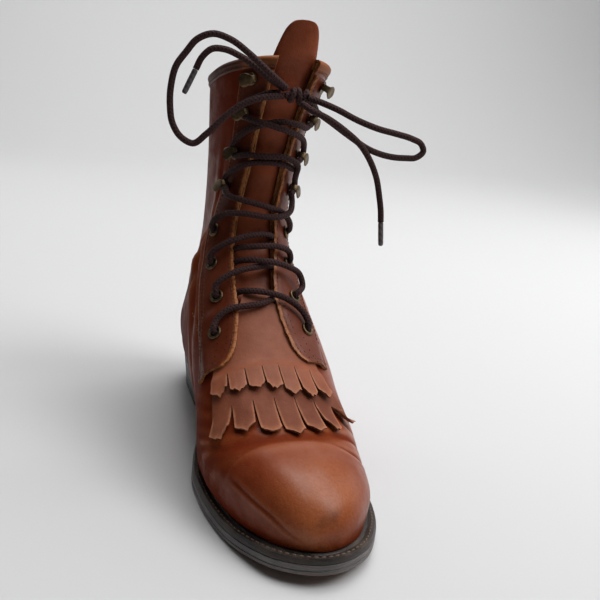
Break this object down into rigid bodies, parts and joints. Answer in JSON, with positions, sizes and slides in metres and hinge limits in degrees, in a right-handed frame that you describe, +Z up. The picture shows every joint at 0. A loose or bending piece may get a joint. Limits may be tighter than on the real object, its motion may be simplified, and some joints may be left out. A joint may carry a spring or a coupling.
{
  "type": "western lace-up boot",
  "caption": "Low-heeled western ankle boot for the left foot in brown leather, laced over eyelets and hooks, with a fringed kiltie on the vamp",
  "frame": {"origin": "centre of the bottom of the boot's box, on the floor, measured without the free bow", "axes": "toe towards -Y, heel towards +Y, inner side of the foot towards -X, outer side towards +X, +Z up"},
  "size_m": [0.1577, 0.2774, 0.2628],
  "materials": {
    "brown_leather": "smooth polished reddish-tan leather with creases and scuffs",
    "dark_binding": "soft folded strip, satin",
    "black_welt": "stained and stitched",
    "black_sole": "satin edge",
    "tan_insole": "matte",
    "antique_brass": "aged, satin",
    "lace_braid": "round waxed braid",
    "lace_tip": "satin"
  },
  "bodies": {
    "root": {"collar_binding": "dark_binding", "eyelet_lateral_1": "antique_brass", "eyelet_lateral_2": "antique_brass", "eyelet_lateral_3": "antique_brass", "eyelet_lateral_4": "antique_brass", "eyelet_medial_1": "antique_brass", "eyelet_medial_2": "antique_brass", "eyelet_medial_3": "antique_brass", "eyelet_medial_4": "antique_brass", "eyestay_lateral": "brown_leather", "eyestay_medial": "brown_leather", "heel": "black_sole", "heel_cap": "black_sole", "hook_lateral_1": "antique_brass", "hook_lateral_2": "antique_brass", "hook_lateral_3": "antique_brass", "hook_lateral_4": "antique_brass", "hook_medial_1": "antique_brass", "hook_medial_2": "antique_brass", "hook_medial_3": "antique_brass", "hook_medial_4": "antique_brass", "insole": "tan_insole", "kiltie_lower": "brown_leather", "kiltie_upper": "brown_leather", "lace_crossing_1": "lace_braid", "lace_crossing_2": "lace_braid", "lace_crossing_3": "lace_braid", "lace_crossing_4": "lace_braid", "lace_crossing_5": "lace_braid", "lace_crossing_6": "lace_braid", "lace_crossing_7": "lace_braid", "lace_end_lateral": "lace_braid", "lace_end_medial": "lace_braid", "lace_knot": "lace_braid", "lace_loop_lateral": "lace_braid", "lace_loop_medial": "lace_braid", "lace_tip_lateral": "lace_tip", "lace_tip_medial": "lace_tip", "outsole": "black_sole", "tongue": "brown_leather", "upper": "brown_leather", "welt": "black_welt"}
  },
  "joints": []
}
